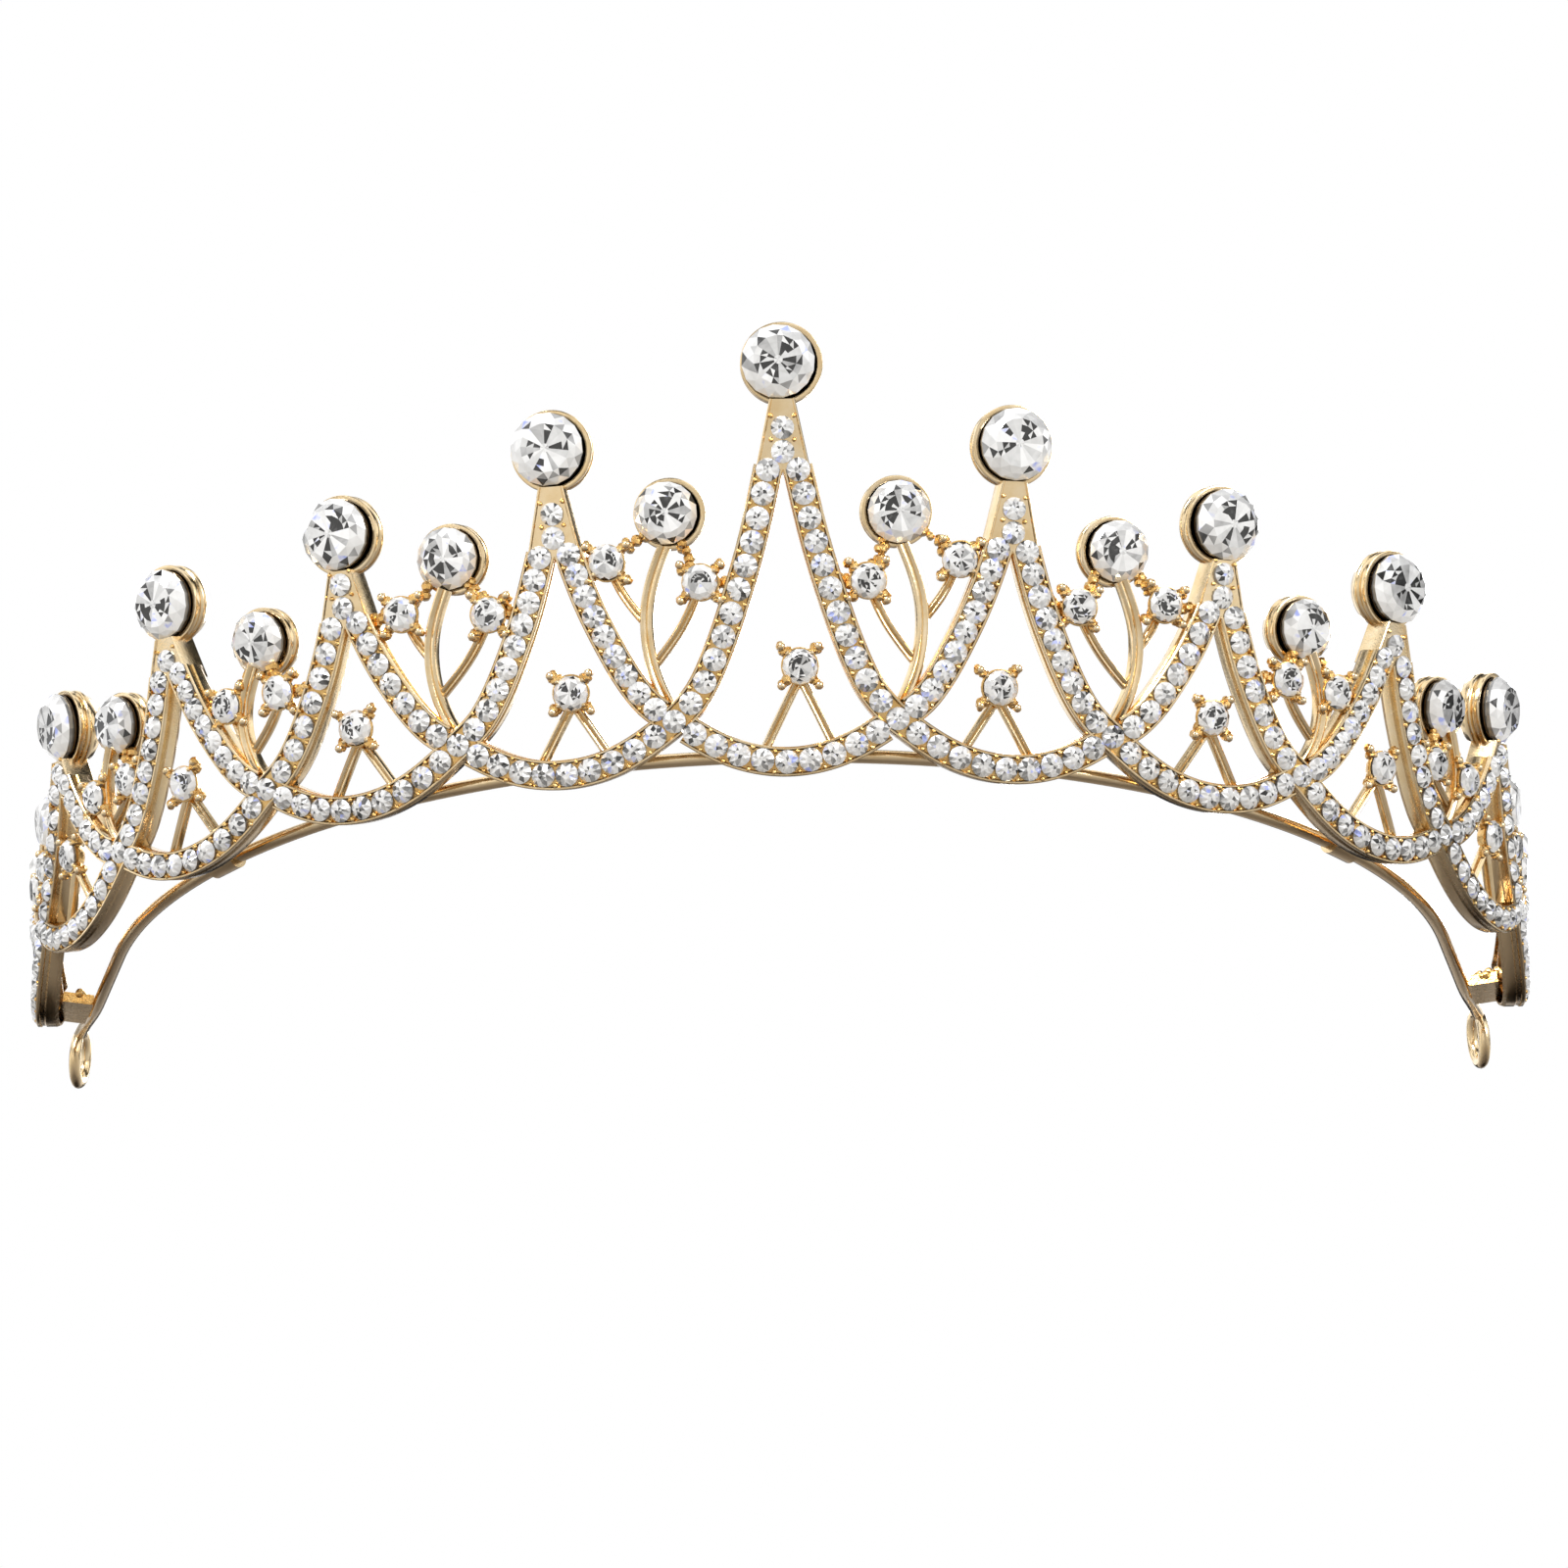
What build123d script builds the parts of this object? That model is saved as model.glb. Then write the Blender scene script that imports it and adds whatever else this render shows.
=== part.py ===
"""Rhinestone tiara: an openwork wall of stone-set festoons and sprays on a wire headband.

The frame: +X to the wearer's left, +Y to the back of the head, +Z up from the surface the tiara stands on.
Every place on the wall is given as (peaks along it from the centre front, mm up it, mm out of it).
"""

import os
from math import asin, cos, radians, sin

from build123d import *

# The wall of festoons, mm and degrees
HALF_WIDTH = 83.3  # side reach of the half ellipse that the wall's foot follows
DEPTH = 61.9  # from the front of that ellipse to its widest place
FRONT_Y = -28.5  # the foot's front, so that the tiara's box is centred on the origin
FOOT_Z = 1.54  # the foot line, so that the lowest rim stands at z = 0
LEAN = 28.0  # the whole wall leans forward
SPLAY = 0.5  # how much of the foot line's slope on the wall the peaks take up, so they fan out
PITCH = 21.6  # from peak to peak along the foot line
SIDE_PEAKS = 5
FOOT_ARC = 220.0  # how much of the ellipse the foot line is drawn for, so that no piece runs off it
LOOK_AHEAD = 0.01  # share of a route, to either side, that its direction is taken over
CENTRE_GROUP = 1.2  # small stones nearer the centre than this many peaks form the centre group

# Heights up the wall, from the centre outwards
PEAK_HEIGHTS = (38.9, 31.8, 27.3, 26.6, 21.9, 15.0)  # centre of each peak's stone
FORK_HEIGHTS = (28.4, 21.4, 18.2, 18.9, 15.1, 9.2)  # where the two strands part below it
SPRAY_HEIGHTS = (24.7, 22.8, 19.3, 17.7, 15.9)  # centre of each spray's large stone
CROSSING_HEIGHT = 4.3  # where neighbouring strands cross, halfway between two peaks
BELL_STONE_HEIGHTS = (9.3, 7.9, 7.9, 7.9, 7.9, 7.9)  # the clawed stone inside each bell

# The strands: how far a leg stands from its peak's axis and how high it is there,
# both as shares of its whole spread and rise
LEG_SHAPE = ((0.13, 1.0), (0.27, 0.72), (0.45, 0.45), (0.655, 0.21), (0.80, 0.095), (1.0, 0.0))
STRAND_WIDTH = 2.9
STRAND_DEPTH = 2.4
CROSSING_SEAT = 1.6  # radius of the round seat where two strands cross
END_SPREAD = 0.72  # the last leg on each side spreads less, and closes its bell

# Stones: girdle diameters and how far each kind stands out of the wall
PEAK_STONE = 7.2
SPRAY_STONE = 6.2
CLAW_STONE = 3.5
PAVE_STONE = 2.3
PAVE_PITCH = 2.34
PEAK_OUT = -1.0
SPRAY_OUT = -2.0
CLAW_OUT = -0.2

# Cups, neck and light wire work
CUP_WALL = 0.4
STONE_PLAY = 0.05  # between a stone's girdle and its seat
SEAT_STEP = 0.35  # depth of the straight part of a cup's seat
CUP_DEPTH = 3.6
CUP_FLAT = 0.8  # radius of the small flats in the seat and on the dome
NECK_TOP = 2.5
NECK_FOOT = 5.5
NECK_OVERLAP = 0.3  # how far the neck reaches below the fork
NECK_DEPTH = 3.0
NECK_STONE_RISE = 1.75  # the first small stone of a neck above the pair at its fork
STEM = 1.3
BRANCH = 0.95
STEM_OUT = -1.1  # the middle of the stems and struts behind the strands' face
BRANCH_OUT = -1.3
STEM_BOW = 2.4
STEM_SHAPE = ((0.1, 0.05), (0.65, 0.2), (1.0, 0.42), (0.9, 0.6), (0.2, 0.84))  # shares of bow and rise
INNER_BRANCH = (0.8, 0.27)  # where each branch leaves the stem, as such shares
OUTER_BRANCHES = ((0.98, 0.47), (0.98, 0.47), (0.8, 0.3), (0.8, 0.3), (0.8, 0.3))
INNER_CLAWS = ((2.9, 13.4), (3.9, 12.3), (2.4, 9.2), (2.4, 6.8), (2.4, 5.8))
OUTER_CLAWS = ((5.9, 15.9), (4.9, 13.8), (3.9, 9.5), (3.8, 7.2), (3.5, 6.0))
BELL_SHIFTS = {-1: 0.8, 0: 1.4, 1: -0.8}  # bell stones that stand off their peak's axis
STRUT_SPREAD = 3.5
STRUT_TOP = 1.0  # where the struts meet, below the middle of their stone
STRUT_FOOT = 1.2
CLAW_REACH = 2.4
CLAW_BEAD = 0.4
CLAW_ARM = 0.7
CLAW_DISC = 1.45
CLAW_SEAT_DEPTH = 1.5
CLAW_LEDGE = 0.5  # the stone's girdle above the disc
CLAW_PIT = 0.9  # the hollow in the disc that takes the stone's point
CLAW_PIT_FOOT = 0.3

# Headband
BAND_RADIUS = 0.7
BAND_BEHIND = 2.4  # centre of the wire behind the foot line at the front
BAND_INSIDE = 8.2  # and inside it at the widest place
BAND_LIFT = 1.95
BAND_TURN = 74.0  # how much of the quarter ellipse the wire follows before it runs straight
EYE_OUTER = 3.6
EYE_INNER = 1.8
EYE_WIDTH = 1.8
EYE_Y = 73.5  # centre of each eye behind the foot line's front
SOLDER = 0.4  # how far soldered pieces run into each other
CLIP_PLACES = (-3, -1, 1, 3)
CLIP_WIDTH = 3.6
CLIP_METAL = 0.45
BRACKET_PLACE = 5.15  # peaks along the wall, and mm up it
BRACKET_UP = 2.0
BRACKET_LENGTH = 5.4
BRACKET_THICK = 1.2
BRACKET_LUMP = 0.7
BRACKET_LUMP_AT = 1.8  # the row of lumps from the wire's middle

wall_up = Vector(0, -sin(radians(LEAN)), cos(radians(LEAN)))


def place_name(peak):
    """centre, left_1, right_1 and so on, as seen from the front."""
    if peak == 0:
        return "centre"
    return f"{'right' if peak > 0 else 'left'}_{abs(peak)}"


# ---------- the wall's foot line and the planes on the wall ----------

with BuildLine(Plane.XY.offset(FOOT_Z)) as foot:
    foot_start = 270 - FOOT_ARC / 2
    EllipticalCenterArc(
        (0, FRONT_Y + DEPTH), HALF_WIDTH, DEPTH, start_angle=foot_start, arc_size=FOOT_ARC
    )

foot_line = foot.edges()[0]
foot_middle = foot_line.length / 2


def wall(peaks, up=0.0, out=0.0):
    """The plane that touches the wall: its x runs along the wall, y up it and z out of it."""
    along_at = foot_middle + peaks * PITCH
    point = foot_line.position_at(along_at, position_mode=PositionMode.LENGTH)
    run = foot_line.tangent_at(along_at, position_mode=PositionMode.LENGTH)
    along = (run - wall_up * run.dot(wall_up)).normalized()
    outward = along.cross(wall_up)
    fan = SPLAY * asin(run.dot(wall_up))
    peak_up = wall_up * cos(fan) - along * sin(fan)
    return Plane(point + peak_up * up + outward * out, x_dir=peak_up.cross(outward), z_dir=outward)


def on_wall(spot, out=0.0):
    """The wall's plane at a spot of a flat route: x mm along the wall, y mm up it."""
    return wall(spot.X / PITCH, spot.Y, out)


def bar(route, width, depth, out=0.0, sections=8):
    """A rectangular bar that follows a flat route on the wall, from one end to the other."""
    with BuildPart() as piece:
        for i in range(sections):
            share = i / (sections - 1)
            here = on_wall(route @ share, out)
            before = on_wall(route @ max(share - LOOK_AHEAD, 0), out).origin
            after = on_wall(route @ min(share + LOOK_AHEAD, 1), out).origin
            ahead = (after - before).normalized()
            with BuildSketch(Plane(here.origin, x_dir=here.z_dir.cross(ahead), z_dir=ahead)):
                Rectangle(width, depth)
        loft()
    return piece.part


# ---------- flat routes of the strands ----------


def leg_route(peak, side):
    """The strand from a peak's fork down to the crossing beside it; side is -1 or 1."""
    last = peak * side == SIDE_PEAKS
    spread = PITCH / 2 * (END_SPREAD if last else 1.0)
    rise = FORK_HEIGHTS[abs(peak)] - CROSSING_HEIGHT
    spots = [
        (peak * PITCH + side * spread * away, CROSSING_HEIGHT + rise * up)
        for away, up in LEG_SHAPE
    ]
    with BuildLine() as route:
        Spline(*spots)
    return route.edges()[0]


def swag_route(peak):
    """The shallow arc under a peak, from crossing to crossing."""
    spots = []
    for share in (-1.0, -0.5, 0.0, 0.5, 1.0):
        half = PITCH / 2
        if peak * share > 0 and abs(peak) == SIDE_PEAKS:
            half *= END_SPREAD
        spots.append((peak * PITCH + share * half, CROSSING_HEIGHT * share**2))
    with BuildLine() as route:
        Spline(*spots)
    return route.edges()[0]


def clear_of_crossings(route, start, end):
    """The route cut back at its start, its end or both, to make room for a crossing's seat."""
    cut = CROSSING_SEAT / route.length
    return route.trim(cut if start else 0.0, 1 - cut if end else 1.0)


def pave_spots(route, first, last):
    """Where small stones sit along a strand, evenly: from its start (first = 0) to its end (last = 0),
    or one pitch short of either."""
    count = round(route.length / PAVE_PITCH)
    return [route @ (i / count) for i in range(first, count + 1 - last)]


# ---------- pieces that repeat ----------


def chaton(diameter):
    """A round stone: flat table, slanted crown, thin girdle at its own z = 0 and a pointed back."""
    radius = diameter / 2
    with BuildPart() as stone:
        with BuildSketch(Plane.XZ):
            Polygon(
                (0, 0.58 * radius),
                (0.52 * radius, 0.58 * radius),
                (radius, 0.08 * radius),
                (radius, -0.04 * radius),
                (0.12 * radius, -0.76 * radius),
                (0, -0.76 * radius),
                align=None,
            )
        revolve(axis=Axis.Z)
    return stone.part


def cup(stone, depth):
    """A dome-backed cup with a drilled seat that holds a stone by its girdle."""
    seat = stone / 2 + STONE_PLAY
    rim = seat + CUP_WALL
    floor, shoulder = -0.4 * stone, -0.4 * depth
    with BuildPart() as piece:
        with BuildSketch(Plane.XZ):
            with BuildLine():
                Polyline(
                    (0, -depth),
                    (0, floor),
                    (CUP_FLAT, floor),
                    (seat, -SEAT_STEP),
                    (seat, 0),
                    (rim, 0),
                    (rim, shoulder),
                )
                ThreePointArc((rim, shoulder), (0.76 * rim, -0.83 * depth), (CUP_FLAT, -depth))
                Line((CUP_FLAT, -depth), (0, -depth))
            make_face()
        revolve(axis=Axis.Z)
    return piece.part


def claw_seat():
    """A small open seat: a disc with four diagonal claws, each ending in a bead."""
    with BuildPart() as piece:
        with BuildSketch(Plane.XY.offset(-CLAW_SEAT_DEPTH)):
            Circle(CLAW_DISC)
        extrude(amount=CLAW_SEAT_DEPTH - CLAW_LEDGE)
        with PolarLocations(CLAW_REACH / 2, 4, start_angle=45):
            Box(CLAW_REACH, CLAW_ARM, CLAW_ARM, align=(Align.CENTER, Align.CENTER, Align.MAX))
        with PolarLocations(CLAW_REACH, 4, start_angle=45):
            Sphere(CLAW_BEAD)
        with BuildSketch():
            Circle(CLAW_STONE / 2 + STONE_PLAY)
        extrude(amount=-CLAW_LEDGE, mode=Mode.SUBTRACT)
        middle_top = (Align.CENTER, Align.CENTER, Align.MAX)
        with Locations((0, 0, -CLAW_LEDGE)):
            Cone(CLAW_PIT_FOOT, CLAW_STONE / 2, CLAW_PIT, align=middle_top, mode=Mode.SUBTRACT)
    return piece.part


def flat_back():
    """A small flat-backed stone, which lies on the strand's face."""
    radius = PAVE_STONE / 2
    edge, top = 0.12 * radius, 0.6 * radius
    with BuildPart() as stone:
        with BuildSketch(Plane.XZ):
            Polygon((0, 0), (radius, 0), (radius, edge), (0.5 * radius, top), (0, top), align=None)
        revolve(axis=Axis.Z)
    return stone.part


def strand(route):
    """A strand of the festoons: its front face lies on the wall and carries the small stones."""
    return bar(route, STRAND_WIDTH, STRAND_DEPTH, out=-STRAND_DEPTH / 2)


def straight(start, end):
    """A straight flat route between two (x, y) spots on the wall."""
    with BuildLine() as route:
        Line(start, end)
    return route.edges()[0]


def curved(*spots):
    """A smooth flat route through (x, y) spots on the wall."""
    with BuildLine() as route:
        Spline(*spots)
    return route.edges()[0]


def write(part, name):
    """Label a finished piece and export it as its own node."""
    part.label = name
    export_step(part, f"parts/{name}.step")


def write_group(parts, name):
    """Write several separate solids, soldered to each other on the real thing, as one node."""
    write(Compound([part.solid() for part in parts]), name)


os.makedirs("parts", exist_ok=True)
peaks = range(-SIDE_PEAKS, SIDE_PEAKS + 1)
halves = [peak + 0.5 for peak in range(-SIDE_PEAKS, SIDE_PEAKS)]
pave = {"left": [], "centre": [], "right": []}


def pave_group(place):
    return "centre" if abs(place) < CENTRE_GROUP else "left" if place < 0 else "right"


# ---------- peak cups: a dome-backed cup on a tapered neck ----------

for peak in peaks:
    stone_height = PEAK_HEIGHTS[abs(peak)]
    fork_height = FORK_HEIGHTS[abs(peak)]
    neck_foot = fork_height - NECK_OVERLAP
    neck_top = stone_height - PEAK_STONE / 2
    neck_out = -NECK_DEPTH / 2
    lower = wall(peak, neck_foot, neck_out)
    upper = wall(peak, neck_top, neck_out)
    cup_place = wall(peak, stone_height, PEAK_OUT)
    stone_height_on_neck = fork_height + NECK_STONE_RISE
    while stone_height_on_neck + PAVE_STONE / 2 < neck_top:
        pave[pave_group(peak)].append(wall(peak, stone_height_on_neck))
        stone_height_on_neck += PAVE_PITCH
    dome = cup_place * cup(PEAK_STONE, CUP_DEPTH)
    bore_up = (Align.CENTER, Align.CENTER, Align.MIN)
    bore = cup_place * Cylinder(PEAK_STONE / 2 + STONE_PLAY, CUP_DEPTH, align=bore_up)
    with BuildPart() as peak_cup:
        with BuildSketch(Plane(lower.origin, x_dir=lower.x_dir, z_dir=lower.y_dir)):
            Rectangle(NECK_FOOT, NECK_DEPTH)
        with BuildSketch(Plane(upper.origin, x_dir=upper.x_dir, z_dir=upper.y_dir)):
            Rectangle(NECK_TOP, NECK_DEPTH)
        loft()
        add(dome)
        add(bore, mode=Mode.SUBTRACT)
    write(peak_cup.part, f"peak_cup_{place_name(peak)}")

# ---------- arches: the two strands that run down from each peak ----------

for peak in peaks:
    legs = []
    for side in (-1, 1):
        route = leg_route(peak, side)
        joins_swag = peak * side == SIDE_PEAKS
        legs.append(strand(clear_of_crossings(route, False, not joins_swag)))
        pave[pave_group(peak)] += [on_wall(spot) for spot in pave_spots(route, 0, 0 if joins_swag else 1)]
    write_group(legs, f"arch_{place_name(peak)}")

# ---------- swags: the arc under each bell, with its clawed stone on two struts ----------

claw_places = []
for peak in peaks:
    route = swag_route(peak)
    lean_in = BELL_SHIFTS.get(peak, 0.0)
    stone_x, stone_height = peak * PITCH + lean_in, BELL_STONE_HEIGHTS[abs(peak)]
    struts = [
        bar(
            straight((stone_x, stone_height - STRUT_TOP), (stone_x + side * STRUT_SPREAD, STRUT_FOOT)),
            BRANCH, BRANCH, out=STEM_OUT, sections=2,
        )
        for side in (-1, 1)
    ]
    seat_place = wall(stone_x / PITCH, stone_height, CLAW_OUT)
    arc = strand(clear_of_crossings(route, peak != -SIDE_PEAKS, peak != SIDE_PEAKS))
    write_group([arc, *struts, seat_place * claw_seat()], f"swag_{place_name(peak)}")
    claw_places.append(seat_place)
    pave[pave_group(peak)] += [on_wall(spot) for spot in pave_spots(route, 1, 1)]

# ---------- sprays: stem, large cup and two clawed stones above each crossing ----------

spray_places = []
for half in halves:
    side = 1 if half > 0 else -1
    step = int(abs(half))
    rise = SPRAY_HEIGHTS[step] - CROSSING_HEIGHT
    stem_spots = [
        (half * PITCH + side * STEM_BOW * bow, CROSSING_HEIGHT + rise * up) for bow, up in STEM_SHAPE
    ]
    pieces = [bar(curved(*stem_spots), STEM, STEM, out=STEM_OUT)]
    inner, outer = INNER_CLAWS[step], OUTER_CLAWS[step]
    for sign, (away, up), (bow, share) in ((-1, inner, INNER_BRANCH), (1, outer, OUTER_BRANCHES[step])):
        fork = (half * PITCH + side * STEM_BOW * bow, CROSSING_HEIGHT + rise * share)
        spot = (half * PITCH + side * sign * away, CROSSING_HEIGHT + up)
        seat_place = wall(spot[0] / PITCH, spot[1], CLAW_OUT)
        claw_places.append(seat_place)
        pieces.append(bar(straight(fork, spot), BRANCH, BRANCH, out=BRANCH_OUT, sections=3))
        pieces.append(seat_place * claw_seat())
    cup_place = wall(half, SPRAY_HEIGHTS[step], SPRAY_OUT)
    spray_places.append(cup_place)
    crossing = wall(half, CROSSING_HEIGHT)
    with BuildPart() as crossing_seat:
        with BuildSketch(crossing):
            Circle(CROSSING_SEAT)
        extrude(amount=-STRAND_DEPTH)
    pieces += [cup_place * cup(SPRAY_STONE, CUP_DEPTH), crossing_seat.part]
    write_group(pieces, f"spray_{'right' if side > 0 else 'left'}_{step + 1}")
    pave[pave_group(half)].append(crossing)

# ---------- stones ----------


def write_stones(stone, planes, name):
    write(Compound([plane.location * stone.solid() for plane in planes]), name)


peak_places = [wall(peak, PEAK_HEIGHTS[abs(peak)], PEAK_OUT) for peak in peaks]
write_stones(chaton(PEAK_STONE), peak_places, "peak_stones")
write_stones(chaton(SPRAY_STONE), spray_places, "spray_stones")
write_stones(chaton(CLAW_STONE), claw_places, "claw_stones")
for group, planes in pave.items():
    write_stones(flat_back(), planes, f"pave_stones_{group}")

# ---------- headband: one wire with an eye at each end ----------

band_centre = (0, FRONT_Y + DEPTH)
band_height = FOOT_Z + BAND_LIFT
with BuildLine(Plane.XY.offset(band_height)) as band:
    front = EllipticalCenterArc(
        band_centre,
        HALF_WIDTH - BAND_INSIDE,
        DEPTH - BAND_BEHIND,
        start_angle=270 - BAND_TURN,
        arc_size=2 * BAND_TURN,
    )
    tail = (FRONT_Y + EYE_Y - EYE_OUTER + SOLDER - (front @ 1).Y) / (front % 1).Y
    Line(front @ 0, front @ 0 - (front % 0) * tail)
    Line(front @ 1, front @ 1 + (front % 1) * tail)

band_start = front @ 0 - (front % 0) * tail
eye_x = (front @ 1 + (front % 1) * tail).X
with BuildPart() as headband:
    with BuildSketch(Plane(band_start, z_dir=front % 0)):
        Circle(BAND_RADIUS)
    sweep(path=band.wires()[0])
    for side in (-1, 1):
        eye_plane = Plane((side * eye_x, FRONT_Y + EYE_Y, EYE_OUTER), x_dir=(0, 1, 0), z_dir=(side, 0, 0))
        with BuildSketch(eye_plane):
            Circle(EYE_OUTER)
        extrude(amount=EYE_WIDTH / 2, both=True)
        with BuildSketch(eye_plane):
            Circle(EYE_INNER)
        extrude(amount=EYE_WIDTH, both=True, mode=Mode.SUBTRACT)
write(headband.part, "headband")

# ---------- clips and end brackets that tie the wall to the headband ----------


def toward_wall(spot, run, target):
    """The way from the wire's middle straight out to a place on the wall, and how far that is."""
    reach = target - spot
    straight_out = reach - run * reach.dot(run)
    return straight_out.normalized(), straight_out.length


clips = []
for place in CLIP_PLACES:
    share = 0.5 + place * PITCH / foot_line.length * FOOT_ARC / (2 * BAND_TURN)
    spot, run = front @ share, front % share
    toward, gap = toward_wall(spot, run, wall(place).origin)
    with BuildPart() as clip:
        with BuildSketch(Plane(spot, z_dir=run)):
            Circle(BAND_RADIUS + CLIP_METAL)
            Circle(BAND_RADIUS, mode=Mode.SUBTRACT)
        extrude(amount=CLIP_WIDTH / 2, both=True)
        with BuildSketch(Plane(spot + toward * BAND_RADIUS, x_dir=run, z_dir=toward)):
            Rectangle(CLIP_WIDTH, CLIP_METAL * 2)
        extrude(amount=max(gap - BAND_RADIUS - STRAND_DEPTH + SOLDER, CLIP_METAL))
    clips.append(clip.part)
write_group(clips, "band_clips")

for side in (-1, 1):
    target = wall(side * BRACKET_PLACE, BRACKET_UP).origin
    tail_start, run = (front @ 1, front % 1) if side > 0 else (front @ 0, front % 0)
    spot = tail_start + run * (target - tail_start).dot(run)
    toward, gap = toward_wall(spot, run, target)
    with BuildPart() as bracket:
        with BuildSketch(Plane(spot + toward * (BAND_RADIUS - SOLDER / 2), x_dir=run, z_dir=toward)):
            Rectangle(BRACKET_LENGTH, BRACKET_THICK)
        extrude(amount=gap - BAND_RADIUS - STRAND_DEPTH + SOLDER)
        for i in (-1, 0, 1):
            lump_place = spot + toward * BRACKET_LUMP_AT + run * (i * BRACKET_LENGTH / 3)
            with Locations(lump_place + Vector(0, 0, BRACKET_THICK / 2)):
                Sphere(BRACKET_LUMP)
    write(bracket.part, f"end_bracket_{'right' if side > 0 else 'left'}")
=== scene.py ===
"""The looks of a rhinestone tiara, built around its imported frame.

All lengths below are in millimetres in the frame's own axes; meshes are written in metres.
A place on the wall of festoons is (peaks along it from the centre front, mm up it, mm out of it).
"""

import math
import random

import bpy
import numpy as np
from mathutils import Matrix, Vector


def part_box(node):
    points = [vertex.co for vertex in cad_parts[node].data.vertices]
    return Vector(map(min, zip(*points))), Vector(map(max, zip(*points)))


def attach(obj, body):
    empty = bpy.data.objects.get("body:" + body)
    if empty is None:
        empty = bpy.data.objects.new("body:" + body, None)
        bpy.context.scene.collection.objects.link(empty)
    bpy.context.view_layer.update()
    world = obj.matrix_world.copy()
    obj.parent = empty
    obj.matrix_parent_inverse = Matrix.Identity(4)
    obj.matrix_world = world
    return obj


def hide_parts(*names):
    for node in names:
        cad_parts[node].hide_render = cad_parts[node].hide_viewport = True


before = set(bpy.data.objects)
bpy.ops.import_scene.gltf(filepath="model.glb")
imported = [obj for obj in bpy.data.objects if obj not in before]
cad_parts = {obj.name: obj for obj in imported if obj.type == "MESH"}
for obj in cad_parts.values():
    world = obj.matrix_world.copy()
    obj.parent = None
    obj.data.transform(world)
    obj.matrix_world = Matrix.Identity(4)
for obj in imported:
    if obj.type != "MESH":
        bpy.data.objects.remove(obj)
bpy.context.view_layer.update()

MM = 0.001

# The wall of festoons, as the frame has it
HALF_WIDTH = 83.3
DEPTH = 61.9
FRONT_Y = -28.5
FOOT_Z = 1.54
LEAN = math.radians(28.0)
SPLAY = 0.5
PITCH = 21.6
SIDE_PEAKS = 5
PEAK_HEIGHTS = (38.9, 31.8, 27.3, 26.6, 21.9, 15.0)
FORK_HEIGHTS = (28.4, 21.4, 18.2, 18.9, 15.1, 9.2)
SPRAY_HEIGHTS = (24.7, 22.8, 19.3, 17.7, 15.9)
CROSSING_HEIGHT = 4.3
BELL_STONE_HEIGHTS = (9.3, 7.9, 7.9, 7.9, 7.9, 7.9)
BELL_SHIFTS = {-1: 0.8, 0: 1.4, 1: -0.8}
LEG_SHAPE = ((0.13, 1.0), (0.27, 0.72), (0.45, 0.45), (0.655, 0.21), (0.80, 0.095), (1.0, 0.0))
END_SPREAD = 0.72
CROSSING_SEAT = 1.6
PAVE_PITCH = 2.34
CENTRE_GROUP = 1.2  # small stones nearer the centre than this many peaks form the centre group

# Stones: girdle diameters, and how far each kind stands out of the wall
PEAK_STONE = 7.2
SPRAY_STONE = 6.2
CLAW_STONE = 3.5
PAVE_STONE = 2.3
PEAK_OUT = -1.0
SPRAY_OUT = -2.0
CLAW_OUT = -0.2

# Cups and necks
CUP_DEPTH = 3.6
NECK_TOP = 2.5
NECK_FOOT = 5.5
NECK_BELOW_FORK = 0.3
NECK_STATIONS = 10
NECK_STONE_RISE = 1.75  # the first small stone of a neck above its fork
NECK_STONE_ROOM = 1.15  # what a small stone needs below the cup
NECK_BEAD_ASIDE = 1.05
SEAT_STONE_PROUD = 0.05
CUP_STONE_PROUD = 0.5

# Sprays
STEM_BOW = 2.4
STEM_SHAPE = ((0.1, 0.05), (0.65, 0.2), (1.0, 0.42), (0.9, 0.6), (0.2, 0.84))  # bow, share of the height
INNER_BRANCH = (0.8, 0.27)
OUTER_BRANCHES = ((0.98, 0.47), (0.98, 0.47), (0.98, 0.3), (0.98, 0.3), (0.98, 0.3))
INNER_CLAWS = ((2.9, 13.4), (3.9, 12.3), (2.4, 9.2), (2.4, 6.8), (2.4, 5.8))
OUTER_CLAWS = ((5.9, 15.9), (4.9, 13.8), (3.9, 9.5), (3.8, 7.2), (3.5, 6.0))

STRUT_SPREAD = 3.5
STRUT_FOOT = 1.2
STRUT_TOP = 1.0  # where the struts meet, below the middle of their stone
CUP_LINK_REACH = 8.2  # a clawed seat nearer than this to its cup is linked to it by granules
SEAT_RADIUS = 1.8
CUP_RADIUS = 3.3

# Headband
EYE_OUTER = 3.6
EYE_X = 81.17
EYE_Y = 73.5
BAND_RADIUS = 0.7
BAND_INSIDE = 8.2
BAND_BEHIND = 2.4
EYE_INSET = 0.02  # keeps the loop inside the box of the frame
BAND_LIFT = 1.95
BAND_TURN = math.radians(74.0)
BRACKET_GRANULES = 26

# Material numbers within a piece
# The grain gold is rough and granulated, and its darker orange is partly painted shade in grooves, channels
# and between granules; the shaded gold is painted shade
BRIGHT, GRAIN_AND_SHADE, SHADED = 0, 1, 2
CUT, FOIL_SHADE = 0, 1

SMOOTH_ANGLE = 34
FINE_SAMPLES = 400

random.seed(11)


# ---------- places on the wall ----------

turns = np.linspace(-math.radians(112), math.radians(112), 4001)
foot_x = HALF_WIDTH * np.sin(turns)
foot_y = FRONT_Y + DEPTH - DEPTH * np.cos(turns)
foot_run = np.concatenate([[0], np.cumsum(np.hypot(np.diff(foot_x), np.diff(foot_y)))])
foot_run -= foot_run[len(turns) // 2]
wall_up = np.array([0, -math.sin(LEAN), math.cos(LEAN)])


def unit(v):
    return v / np.linalg.norm(v)


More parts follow.
